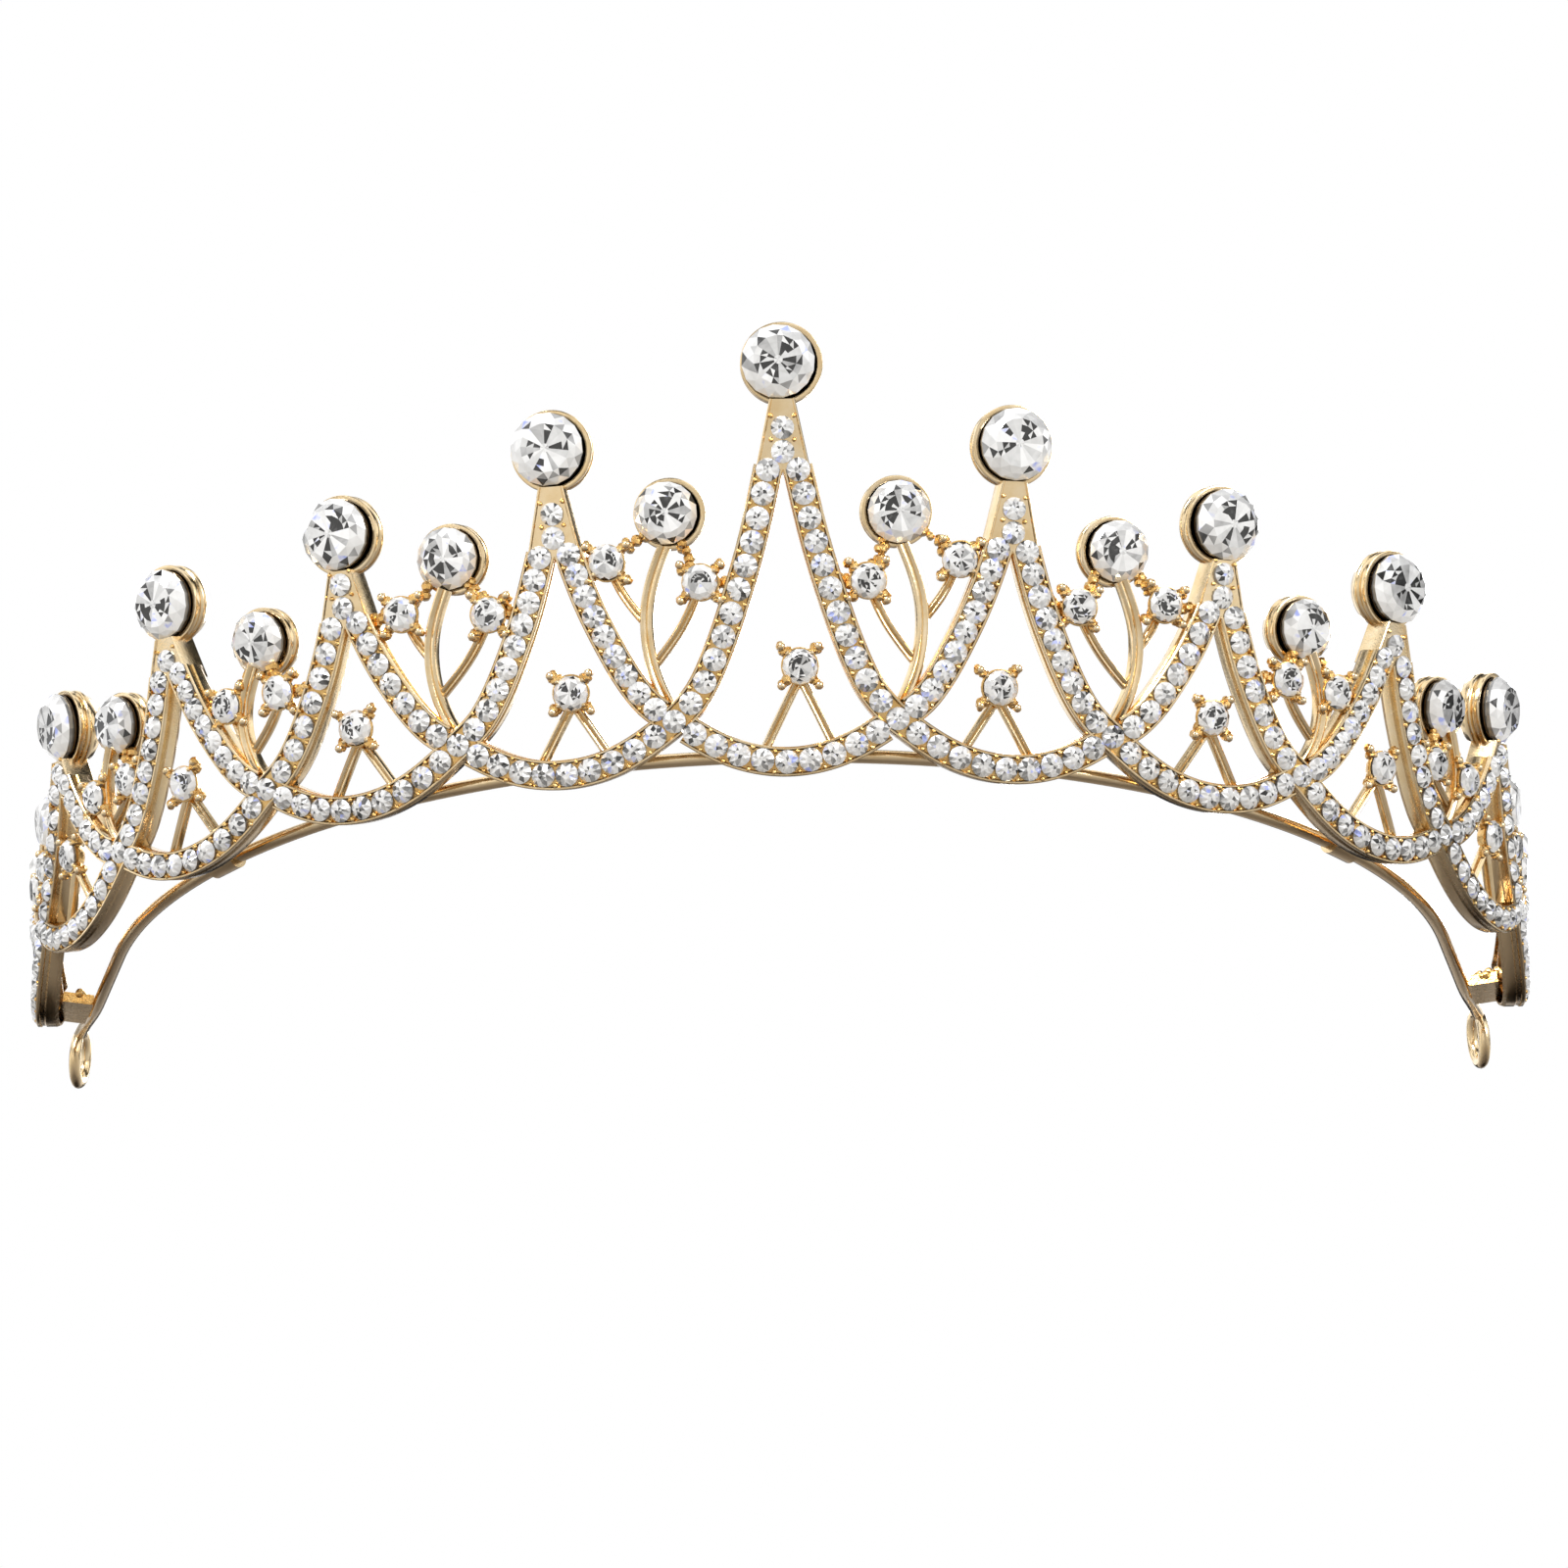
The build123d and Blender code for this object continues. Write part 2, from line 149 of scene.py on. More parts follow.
class Place:
    """A spot with its own axes: x along the wall, y up it and z out of it."""

    def __init__(self, origin, x, y, z):
        self.origin, self.x, self.y, self.z = origin, x, y, z

    def at(self, points):
        p = np.atleast_2d(points)
        return self.origin + p[:, :1] * self.x + p[:, 1:2] * self.y + p[:, 2:3] * self.z

    def turned(self, angle):
        """The same spot, spun about its own z."""
        c, s = math.cos(angle), math.sin(angle)
        return Place(self.origin, self.x * c + self.y * s, self.y * c - self.x * s, self.z)

    def tipped(self, sideways, upward):
        """The same spot, with z tipped a little along x and y."""
        z = unit(self.z + self.x * sideways + self.y * upward)
        x = unit(self.x - z * (self.x @ z))
        return Place(self.origin, x, np.cross(z, x), z)


def wall(peaks, up=0.0, out=0.0):
    """The place that many peaks along the wall, up it and out of it."""
    turn = np.interp(peaks * PITCH, foot_run, turns)
    foot = np.array([HALF_WIDTH * math.sin(turn), FRONT_Y + DEPTH * (1 - math.cos(turn)), FOOT_Z])
    run = unit(np.array([HALF_WIDTH * math.cos(turn), DEPTH * math.sin(turn), 0.0]))
    along = unit(run - wall_up * (run @ wall_up))
    outward = np.cross(along, wall_up)
    fan = SPLAY * math.asin(run @ wall_up)
    peak_up = wall_up * math.cos(fan) - along * math.sin(fan)
    return Place(foot + peak_up * up + outward * out, np.cross(peak_up, outward), peak_up, outward)


# ---------- meshes ----------


class Shape:
    """Points and faces that grow into one piece; every face has a material number and a tone."""

    def __init__(self):
        self.points, self.faces, self.slots, self.tones = [], [], [], []
        self.count = 0

    def add(self, points, faces, slot=0, tones=None):
        self.points.append(np.asarray(points, float))
        self.faces += [[i + self.count for i in face] for face in faces]
        self.slots += slot if isinstance(slot, list) else [slot] * len(faces)
        self.tones += list(tones) if tones is not None else [0.5] * len(faces)
        self.count += len(points)

    def piece(self, name, materials, smooth_angle=None, replaces=(), slot="gold"):
        mesh = bpy.data.meshes.new(name)
        mesh.from_pydata((np.concatenate(self.points) * MM).tolist(), [], self.faces)
        for material in materials:
            mesh.materials.append(material)
        mesh.polygons.foreach_set("material_index", self.slots)
        tone = mesh.attributes.new("tone", "FLOAT", "FACE")
        tone.data.foreach_set("value", self.tones)
        if smooth_angle is not None:
            mesh.polygons.foreach_set("use_smooth", [True] * len(self.faces))
            mesh.set_sharp_from_angle(angle=math.radians(smooth_angle))
        mesh.validate()
        mesh.update()
        made = bpy.data.objects.new(name, mesh)
        bpy.context.collection.objects.link(made)
        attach(made, "root")
        if replaces:
            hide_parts(*replaces)
        return made


def smooth_path(spots, samples, trim_start=0.0, trim_end=0.0):
    """A natural cubic curve through flat (x, y) spots, evenly sampled; the trims are in mm."""
    p = np.array(spots, float)
    t = np.concatenate([[0], np.cumsum(np.linalg.norm(np.diff(p, axis=0), axis=1))])
    n = len(p)
    h = np.diff(t)
    a = np.eye(n)
    b = np.zeros((n, 2))
    for i in range(1, n - 1):
        a[i, i - 1 : i + 2] = h[i - 1], 2 * (h[i - 1] + h[i]), h[i]
        b[i] = 6 * ((p[i + 1] - p[i]) / h[i] - (p[i] - p[i - 1]) / h[i - 1])
    m = np.linalg.solve(a, b)
    fine = np.linspace(0, t[-1], FINE_SAMPLES)
    i = np.clip(np.searchsorted(t, fine, "right") - 1, 0, n - 2)
    d1, d0, hi = (t[i + 1] - fine)[:, None], (fine - t[i])[:, None], h[i][:, None]
    curve = (m[i] * d1**3 + m[i + 1] * d0**3) / (6 * hi)
    curve += (p[i] / hi - m[i] * hi / 6) * d1 + (p[i + 1] / hi - m[i + 1] * hi / 6) * d0
    run = np.concatenate([[0], np.cumsum(np.linalg.norm(np.diff(curve, axis=0), axis=1))])
    wanted = np.linspace(trim_start, run[-1] - trim_end, samples)
    return np.stack([np.interp(wanted, run, curve[:, 0]), np.interp(wanted, run, curve[:, 1])], axis=1)


def path_length(path):
    return float(np.linalg.norm(np.diff(path, axis=0), axis=1).sum())


def sweep(shape, centres, across, outward, profile, slots=None):
    """Carry a closed (across, out) profile, or one for each centre, along a line of centres.
    slots gives the material number of single sides of the profile; the rest take number 0."""
    profiles = np.array(profile)
    slots = slots or {}
    n, k = len(centres), profiles.shape[-2]
    profiles = np.broadcast_to(profiles, (n, k, 2))
    points = np.concatenate([
        c + p[:, :1] * a + p[:, 1:] * o for c, a, o, p in zip(centres, across, outward, profiles)
    ])
    faces = [list(range(k)), [(n - 1) * k + j for j in reversed(range(k))]]
    face_slots = [0, 0]
    for j in range(k):
        for i in range(n - 1):
            faces.append([i * k + j, (i + 1) * k + j, (i + 1) * k + (j + 1) % k, i * k + (j + 1) % k])
            face_slots.append(slots.get(j, 0))
    shape.add(points, faces, face_slots)


def wall_frames(path, out=0.0):
    """Centres, across and outward directions for a flat path laid on the wall."""
    places = [wall(x / PITCH, y, out) for x, y in path]
    centres = np.array([p.origin for p in places])
    ahead = np.gradient(centres, axis=0)
    ahead /= np.linalg.norm(ahead, axis=1)[:, None]
    outward = np.array([p.z for p in places])
    outward -= ahead * (ahead * outward).sum(1)[:, None]
    outward /= np.linalg.norm(outward, axis=1)[:, None]
    return centres, np.cross(outward, ahead), outward


def ball(shape, centre, radius, slot=0, stretch=(1, 1, 1), rings=6, spokes=10):
    """A round lump, or one stretched along the frame's axes."""
    points, faces = [(0, 0, 1)], []
    for i in range(1, rings):
        a = math.pi * i / rings
        for j in range(spokes):
            b = 2 * math.pi * j / spokes
            points.append((math.sin(a) * math.cos(b), math.sin(a) * math.sin(b), math.cos(a)))
    points.append((0, 0, -1))
    for j in range(spokes):
        k = (j + 1) % spokes
        faces.append([0, 1 + j, 1 + k])
        for i in range(rings - 2):
            r = 1 + i * spokes
            faces.append([r + j, r + spokes + j, r + spokes + k, r + k])
        last = 1 + (rings - 2) * spokes
        faces.append([last + j, len(points) - 1, last + k])
    local = np.array(points) * radius * np.array(stretch)
    shape.add(centre + local, faces, slot)


def turned_form(shape, place, profile, spokes=48, slot=0):
    """Revolve an open (radius, out) profile about the place's own z; both ends lie on the axis."""
    points, faces = [], []
    k = len(profile)
    for j in range(spokes):
        a = 2 * math.pi * j / spokes
        points += [(r * math.cos(a), r * math.sin(a), z) for r, z in profile[1:-1]]
    m = k - 2
    top, bottom = len(points), len(points) + 1
    points += [(0, 0, profile[0][1]), (0, 0, profile[-1][1])]
    for j in range(spokes):
        n = (j + 1) % spokes
        faces.append([top, j * m, n * m])
        faces += [[j * m + i, j * m + i + 1, n * m + i + 1, n * m + i] for i in range(m - 1)]
        faces.append([bottom, n * m + m - 1, j * m + m - 1])
    shape.add(place.at(points), faces, slot)


# ---------- stones ----------

# Facet tones of the stones: painted reflections of light and dark, from dark to white
DARK, GREY, PALE, WHITE = 0.05, 0.35, 0.65, 0.9
TABLE_EDGE, CROWN_RING, GIRDLE = 3, 4, 5  # rings of a large stone, counted from its middle


def ring(count, radius, height, phase=0.0):
    a = 2 * math.pi * (np.arange(count) + phase) / count
    return np.stack([radius * np.cos(a), radius * np.sin(a), np.full(count, height)], axis=1)


def wedge_tones(count, dark_share):
    """Painted reflection tones round a ring of facets: mostly pale, with dark wedges here and there."""
    tones = []
    for _ in range(count):
        pick = random.random()
        if pick < dark_share:
            tones.append(DARK + 0.06 + random.random() * 0.2)
        elif pick < dark_share + 0.18:
            tones.append(GREY + random.random() * 0.15)
        else:
            tones.append(PALE + random.random() * 0.33)
    return tones


def brilliant(shape, place, diameter, wedges, dark_share):
    """A round stone seen through its top: wedges of light and dark, painted as reflections in the facet
    tones, run out from a pale middle, as the foil behind throws them back, across a flat table and out over
    the triangles and kites of the crown."""
    radius = diameter / 2
    spin = place.turned(random.random() * math.pi)
    reaches = (0.12, 0.31, 0.50, 0.67, 0.84, 1.0, 1.0, 0.97)
    heights = (0.36, 0.36, 0.36, 0.355, 0.22, 0.05, -0.04, -0.12)
    uneven = np.array([random.gauss(0, 0.17) for _ in range(wedges)])
    rings = []
    for level, (reach, height) in enumerate(zip(reaches, heights)):
        phase = uneven if level <= TABLE_EDGE else 0.5 if level == CROWN_RING else 0.0
        rings.append(ring(wedges, reach * radius, height * radius, phase))
    points = np.concatenate([np.array([[0, 0, heights[0] * radius]])] + rings)
    faces = [[0, 1 + i, 1 + (i + 1) % wedges] for i in range(wedges)]
    tones = [0.5 + 0.4 * random.random() for _ in range(wedges)]
    dark = [random.random() < dark_share for _ in range(wedges)]
    starts = [random.choice((0, 0, 1)) for _ in range(wedges)]
    ends = [random.choice((2, 3, 3)) for _ in range(wedges)]
    light = [random.choice((GREY + 0.12, GREY + 0.24, PALE, PALE + 0.12, WHITE)) for _ in range(wedges)]
    for level in range(len(reaches) - 1):
        low, high = 1 + level * wedges, 1 + (level + 1) * wedges
        for i in range(wedges):
            j = (i + 1) % wedges
            if level == TABLE_EDGE:
                cells = [[low + i, high + i, low + j], [high + i, high + j, low + j]]
            else:
                cells = [[low + i, high + i, high + j], [low + i, high + j, low + j]]
            for half, cell in enumerate(cells):
                faces.append(cell)
                if level >= GIRDLE:
                    tone = GREY
                elif level >= TABLE_EDGE:
                    kite = random.random()
                    tone = GREY + 0.1 if kite < 0.14 else PALE + 0.32 * kite
                    if kite < 0.05:
                        tone = DARK + 0.1
                elif dark[i] and starts[i] <= level < ends[i] and (level < ends[i] - 1 or half == 0):
                    tone = DARK + 0.1 * random.random()
                else:
                    tone = light[i] + 0.06 * random.random()
                tones.append(tone)
    last = 1 + (len(reaches) - 1) * wedges
    faces.append([last + i for i in range(wedges)][::-1])
    tones.append(GREY)
    shape.add(spin.at(points), faces, CUT, tones)


def small_stone(shape, place, radius):
    """A small stone, all facets: a low crown whose middle shows the star of the facets behind it, painted as
    reflections in the facet tones.
    """
    spin = place.turned(random.random() * math.pi).tipped(random.gauss(0, 0.05), random.gauss(0, 0.05))
    rings = [ring(8, 0.36 * radius, 0.46 * radius), ring(8, 0.64 * radius, 0.42 * radius, 0.5),
             ring(16, radius, 0.06 * radius), ring(16, radius, -0.25 * radius)]
    points = np.concatenate([np.array([[0, 0, 0.46 * radius]])] + rings)
    faces = [[0, 1 + i, 1 + (i + 1) % 8] for i in range(8)]
    tones = wedge_tones(8, 0.15)
    for i in range(8):
        j, p = (i + 1) % 8, (i - 1) % 8
        e0, e1, e2 = 17 + 2 * i, 17 + (2 * i + 1) % 16, 17 + (2 * i + 2) % 16
        faces += [[1 + i, 9 + i, 1 + j], [1 + i, 9 + p, e0, 9 + i], [9 + i, e0, e1], [9 + i, e1, e2]]
        tones += wedge_tones(1, 0.16) + wedge_tones(1, 0.07) + wedge_tones(2, 0.04)
    for i in range(16):
        j = (i + 1) % 16
        faces.append([17 + i, 33 + i, 33 + j, 17 + j])
        tones.append(GREY)
    faces.append([33 + i for i in range(16)][::-1])
    tones.append(GREY)
    shape.add(spin.at(points), faces, CUT, tones)


# ---------- strands and their small stones ----------

# across and out: a recessed face between thin rims; down each side a rough groove, a smooth band and a bevel
RIM_HALF = [(1.06, -0.12), (1.14, 0.04), (1.2, 0.13), (1.36, 0.13), (1.45, 0.02), (1.45, -0.25), (1.3, -0.4),
            (1.3, -0.8), (1.45, -0.95), (1.45, -1.95), (1.3, -2.38), (1.05, -2.38), (1.05, -1.0)]
RIM = RIM_HALF + [(-x, y) for x, y in reversed(RIM_HALF)]
# The groove, the rim walls and the channel under the stones take the grain gold, whose darker orange is
# partly painted recess shade; the bevel and the back take the shaded gold
RIM_SLOTS = {0: GRAIN_AND_SHADE, 5: GRAIN_AND_SHADE, 6: GRAIN_AND_SHADE, 7: GRAIN_AND_SHADE, 9: SHADED, 10: SHADED, 11: GRAIN_AND_SHADE, 12: GRAIN_AND_SHADE}
RIM_SLOTS.update({2 * len(RIM_HALF) - 2 - side: slot for side, slot in RIM_SLOTS.items()})
RIM_SLOTS[2 * len(RIM_HALF) - 1] = GRAIN_AND_SHADE
BEAD = 0.24
STONE_LIFT = 0.1
LEG_ABOVE_FORK = 0.3
TIP_SIZES = (0.97, 0.91, 0.83, 0.72, 0.56)


def leg_path(peak, side, samples=44):
    """The strand from a peak's fork down to the crossing; it runs over its neighbour on the outer side."""
    last = peak * side == SIDE_PEAKS
    spread = PITCH / 2 * (END_SPREAD if last else 1.0)
    rise = FORK_HEIGHTS[abs(peak)] - CROSSING_HEIGHT
    spots = [(peak * PITCH + side * spread * away, CROSSING_HEIGHT + rise * up) for away, up in LEG_SHAPE]
    over = peak * side >= 0
    path = smooth_path(spots, samples, 0.0, 0.0 if over else CROSSING_SEAT - 0.1)
    above = path[0] + unit(path[0] - path[1]) * LEG_ABOVE_FORK
    return np.concatenate([[above], path]), spots


def swag_path(peak, samples=40):
    """The arc under a peak: it carries on from the strand that comes over from the centre's side."""
    spots = []
    for share in (-1.0, -0.5, 0.0, 0.5, 1.0):
        half = PITCH / 2
        if peak * share > 0 and abs(peak) == SIDE_PEAKS:
            half *= END_SPREAD
        spots.append((peak * PITCH + share * half, CROSSING_HEIGHT * share**2))
    start = 0.0 if peak > 0 or peak == -SIDE_PEAKS else CROSSING_SEAT - 0.1
    end = 0.0 if peak < 0 or peak == SIDE_PEAKS else CROSSING_SEAT - 0.1
    return smooth_path(spots, samples, start, end), spots


def add_strand(metal, stones, path, spots, first, last, tip=0):
    """One strand: a channel with thin rims, small stones side by side in it and beads in the gaps between.
    The stones stand one apart, counted from 0 at the start; first and last leave some out at the ends.
    tip is -1 or 1 where the strand's start or end is the wall's own end and tapers off."""
    centres, across, outward = wall_frames(path)
    sizes = np.ones(len(path))
    if tip:
        sizes[-len(TIP_SIZES):] = TIP_SIZES
    if tip < 0:
        sizes = sizes[::-1]
    sweep(metal, centres, across, outward, [np.array(RIM) * size for size in sizes], RIM_SLOTS)
    fine = smooth_path(spots, FINE_SAMPLES)
    count = round(path_length(fine) / PAVE_PITCH)

    def sample(stone):
        return min(FINE_SAMPLES - 1, round(stone / count * (FINE_SAMPLES - 1)))

    for stone in np.arange(first, count + last + 0.01, 1.0):
        x, y = fine[sample(stone)]
        small_stone(stones, wall(x / PITCH, y, STONE_LIFT), PAVE_STONE / 2 + 0.02)
    centres, across, outward = wall_frames(fine)
    for gap in np.arange(first + 0.5, count + last, 1.0):
        at = sample(gap)
        for side in (-1, 1):
            spot = centres[at] + across[at] * side * random.uniform(0.95, 1.12) + outward[at] * STONE_LIFT
            ball(metal, spot, BEAD * random.uniform(0.8, 1.15), slot=GRAIN_AND_SHADE, rings=5, spokes=8)


# ---------- cups, claw seats and wire work ----------


def cup_profile(stone, depth):
    """From the floor of a stepped seat, over the rim and its groove, round a domed back."""
    seat = stone / 2 - 0.15
    rim = stone / 2 + 0.45
    return [(0, -0.42 * stone), (0.5, -0.42 * stone), (seat - 0.35, -0.75), (seat, -0.38),
            (seat + 0.08, -0.2),
            (rim - 0.16, -0.12), (rim - 0.05, -0.16), (rim, -0.28), (rim, -0.62), (rim - 0.1, -0.75),
            (rim - 0.34, -0.82), (rim - 0.38, -1.05), (rim - 0.1, -1.2), (rim, -1.35), (rim, -0.45 * depth),
            (0.94 * rim, -0.55 * depth), (0.86 * rim, -0.73 * depth), (0.68 * rim, -0.88 * depth),
            (0.42 * rim, -0.96 * depth), (0.18 * rim, -0.995 * depth), (0, -depth)]


def grains(shape, centre, spread, count, size):
    """A rough cluster of small granules, as cast granulation."""
    for _ in range(count):
        offset = np.array([random.gauss(0, 1) for _ in range(3)]) * spread
        ball(shape, centre + offset, size * random.uniform(0.7, 1.25), GRAIN_AND_SHADE, rings=4, spokes=7,
             stretch=(1, random.uniform(0.8, 1.2), 1))


# along each claw: away from the stone's middle, size, out of the wall
CLAW_LUMPS = ((1.75, 0.46, -0.5), (2.05, 0.46, -0.35), (2.35, 0.42, -0.42), (2.6, 0.38, -0.3))
COLLET = [(0, -0.55), (1.2, -0.5), (1.55, -0.2), (1.72, -0.02), (1.86, -0.05), (1.88, -0.25),
          (1.5, -0.9), (1.1, -1.35), (0.5, -1.5), (0, -1.5)]


def claw_seat(metal, place):
    """A collet with four granulated claws, each bent over the stone and ending in a knot of lumps."""
    turned_form(metal, place, COLLET, spokes=28, slot=GRAIN_AND_SHADE)
    for i in range(4):
        a = math.radians(45 + 90 * i + random.uniform(-6, 6))
        ray = place.x * math.cos(a) + place.y * math.sin(a)
        for away, size, out in CLAW_LUMPS:
            grains(metal, place.origin + ray * away + place.z * out, 0.13, 3, size)
        ball(metal, place.origin + ray * 2.65, 0.44, slot=BRIGHT, rings=7, spokes=12)
        ball(metal, place.origin + ray * 1.74 + place.z * 0.16, 0.25, slot=BRIGHT, rings=6, spokes=10)


def granules_between(metal, start, end):
    """A rough trail of granules from one point to another."""
    for share in np.linspace(0, 1, 4):
        grains(metal, start + (end - start) * share, 0.22, 3, 0.5)


def add_bar(shape, spots, width, depth, out, samples=22):
    """A flat bar on the wall, straight or curved, with a shallow groove along its face."""
    path = smooth_path(spots, samples) if len(spots) > 2 else np.linspace(spots[0], spots[1], samples)
    centres, across, outward = wall_frames(path, out)
    w = width / 2
    face = [(-w, -0.3), (-w + 0.1, -0.06), (-0.6 * w, 0), (-0.35 * w, -0.04), (0, -0.24),
            (0.35 * w, -0.04), (0.6 * w, 0), (w - 0.1, -0.06), (w, -0.3)]
    back = [(w, 0.2 - depth), (0.6 * w, -depth), (-0.6 * w, -depth), (-w, 0.2 - depth)]
    sweep(shape, centres, across, outward, face + back, {9: SHADED, 10: SHADED, 11: SHADED})


# ---------- materials ----------


def material(name):
    made = bpy.data.materials.new(name)
    made.use_nodes = True
    tree = made.node_tree
    return made, tree, tree.nodes["Principled BSDF"]


def noise(tree, scale, detail=3.0, rough=0.6):
    node = tree.nodes.new("ShaderNodeTexNoise")
    place = tree.nodes.new("ShaderNodeTexCoord")
    tree.links.new(place.outputs["Object"], node.inputs["Vector"])
    node.inputs["Scale"].default_value = scale
    node.inputs["Detail"].default_value = detail
    node.inputs["Roughness"].default_value = rough
    return node


def ramp(tree, source, stops):
    node = tree.nodes.new("ShaderNodeValToRGB")
    elements = node.color_ramp.elements
    while len(elements) < len(stops):
        elements.new(0.5)
    for element, (at, colour) in zip(elements, stops):
        element.position = at
        element.color = (*colour, 1) if isinstance(colour, tuple) else (colour, colour, colour, 1)
    tree.links.new(source, node.inputs["Fac"])
    return node


def gold(name, tints, roughness, grain, depth, under, hatch=0.0):
    """Plated metal: tint and gloss drift over a few millimetres, and a fine grain lies on top;
    faces that look down are mixed toward the colour under, a painted shade."""
    made, tree, shader = material(name)
    drift = noise(tree, 420.0)
    tint = ramp(tree, drift.outputs["Fac"], [(0.25, tints[0]), (0.5, tints[1]), (0.75, tints[2])])
    # Painted shade: faces whose normal points down are mixed toward the colour under
    normal = tree.nodes.new("ShaderNodeNewGeometry")
    parts = tree.nodes.new("ShaderNodeSeparateXYZ")
    tree.links.new(normal.outputs["Normal"], parts.inputs["Vector"])
    downward_shade = tree.nodes.new("ShaderNodeMapRange")
    tree.links.new(parts.outputs["Z"], downward_shade.inputs["Value"])
    downward_shade.inputs["From Min"].default_value = -0.4
    downward_shade.inputs["From Max"].default_value = -0.85
    shade_mix = tree.nodes.new("ShaderNodeMixRGB")
    tree.links.new(downward_shade.outputs["Result"], shade_mix.inputs["Fac"])
    tree.links.new(tint.outputs["Color"], shade_mix.inputs["Color1"])
    shade_mix.inputs["Color2"].default_value = (*under, 1)
    tree.links.new(shade_mix.outputs["Color"], shader.inputs["Base Color"])
    wear = noise(tree, 1500.0, 4.0)
    gloss = ramp(tree, wear.outputs["Fac"], [(0.3, roughness[0]), (0.7, roughness[1])])
    tree.links.new(gloss.outputs["Color"], shader.inputs["Roughness"])
    bump = tree.nodes.new("ShaderNodeBump")
    bump.inputs["Strength"].default_value = depth
    bump.inputs["Distance"].default_value = 0.0001
    height = noise(tree, grain, 2.0).outputs["Fac"]
    if hatch:
        lines = tree.nodes.new("ShaderNodeTexWave")
        lines.bands_direction = "DIAGONAL"
        lines.inputs["Scale"].default_value = hatch
        lines.inputs["Distortion"].default_value = 4.0
        tree.links.new(drift.inputs["Vector"].links[0].from_socket, lines.inputs["Vector"])
        both = tree.nodes.new("ShaderNodeMath")
        tree.links.new(lines.outputs["Fac"], both.inputs[0])
        tree.links.new(height, both.inputs[1])
        height = both.outputs["Value"]
    tree.links.new(height, bump.inputs["Height"])
    tree.links.new(bump.outputs["Normal"], shader.inputs["Normal"])
    shader.inputs["Metallic"].default_value = 1.0
    return made


def facets(name, blue):
    """Cut stone backed with foil: each facet takes one tone, a painted reflection of light or dark, broken
    up by faint painted inner reflections; the palest tones turn blue, a painted glint.
    """
    made, tree, shader = material(name)
    tone = tree.nodes.new("ShaderNodeAttribute")
    tone.attribute_name = "tone"
    inner = noise(tree, 900.0, 1.0)
    mix = tree.nodes.new("ShaderNodeMath")
    mix.operation = "MULTIPLY_ADD"
    tree.links.new(inner.outputs["Fac"], mix.inputs[0])
    mix.inputs[1].default_value = 0.22
    offset = tree.nodes.new("ShaderNodeMath")
    offset.operation = "SUBTRACT"
    offset.inputs[1].default_value = 0.11
    tree.links.new(tone.outputs["Fac"], offset.inputs[0])
    tree.links.new(offset.outputs["Value"], mix.inputs[2])
    colour = ramp(tree, mix.outputs["Value"], [
        (0.0, 0.012), (0.14, 0.03), (0.26, 0.14), (0.45, 0.38),
        (0.62, 0.66), (0.8, 0.86), (0.955, 0.97), (1.0, blue),
    ])
    tree.links.new(colour.outputs["Color"], shader.inputs["Base Color"])
    shader.inputs["Metallic"].default_value = 0.35
    gloss = ramp(tree, inner.outputs["Fac"], [(0.3, 0.08), (0.7, 0.2)])
    tree.links.new(gloss.outputs["Color"], shader.inputs["Roughness"])
    shader.inputs["Coat Weight"].default_value = 0.9
    shader.inputs["Coat Roughness"].default_value = 0.02
    return made


# The colours that faces looking down are mixed toward: painted shade
UNDERSIDE_SHADE = (0.36, 0.27, 0.17)
FOIL_UNDERSIDE_SHADE = (0.10, 0.07, 0.04)
bright = gold("gold_bright", ((0.84, 0.61, 0.32), (0.91, 0.71, 0.43), (0.96, 0.80, 0.56)),
              (0.10, 0.22), 5200.0, 0.15, UNDERSIDE_SHADE)
# Real granulated roughness and bump, with darker orange tints that are partly painted shade in recesses and
# between granules
grain = gold("gold_grain_and_shade", ((0.64, 0.36, 0.10), (0.80, 0.50, 0.18), (0.89, 0.64, 0.29)),
             (0.16, 0.36), 2600.0, 0.5, UNDERSIDE_SHADE)
shaded = gold("gold_shaded", ((0.30, 0.21, 0.12), (0.42, 0.31, 0.19), (0.55, 0.42, 0.27)),
              (0.22, 0.42), 3800.0, 0.45, UNDERSIDE_SHADE, hatch=700.0)
# The foil is given a near-black brown: painted shade, the dark crescent in the gap between each stone and
# its cup
foil = gold("stone_foil_shade", ((0.05, 0.035, 0.02), (0.09, 0.06, 0.035), (0.16, 0.11, 0.06)),
            (0.3, 0.5), 3000.0, 0.3, FOIL_UNDERSIDE_SHADE)
crystal = facets("crystal_facets", (0.45, 0.52, 1.0))
METALS = [bright, grain, shaded]
STONES = [crystal, foil]


# ---------- the pieces ----------


def name_of(peak):
    """The number runs out from the centre on each side, for peaks and for sprays."""
    return "centre" if peak == 0 else f"{'right' if peak > 0 else 'left'}_{abs(peak)}"


def group_of(place):
    return "centre" if abs(place) < CENTRE_GROUP else "left" if place < 0 else "right"


def neck_profile(width):
    """A plain face between two thin rims, 3 mm deep."""
    w = width / 2
    front = [(-w, 0.0), (-w + 0.07, 0.12), (-w + 0.2, 0.12), (-w + 0.3, -0.04)]
    back = [(w, -2.85), (w - 0.12, -2.98), (0.12 - w, -2.98), (-w, -2.85)]
    return front + [(-x, y) for x, y in reversed(front)] + back


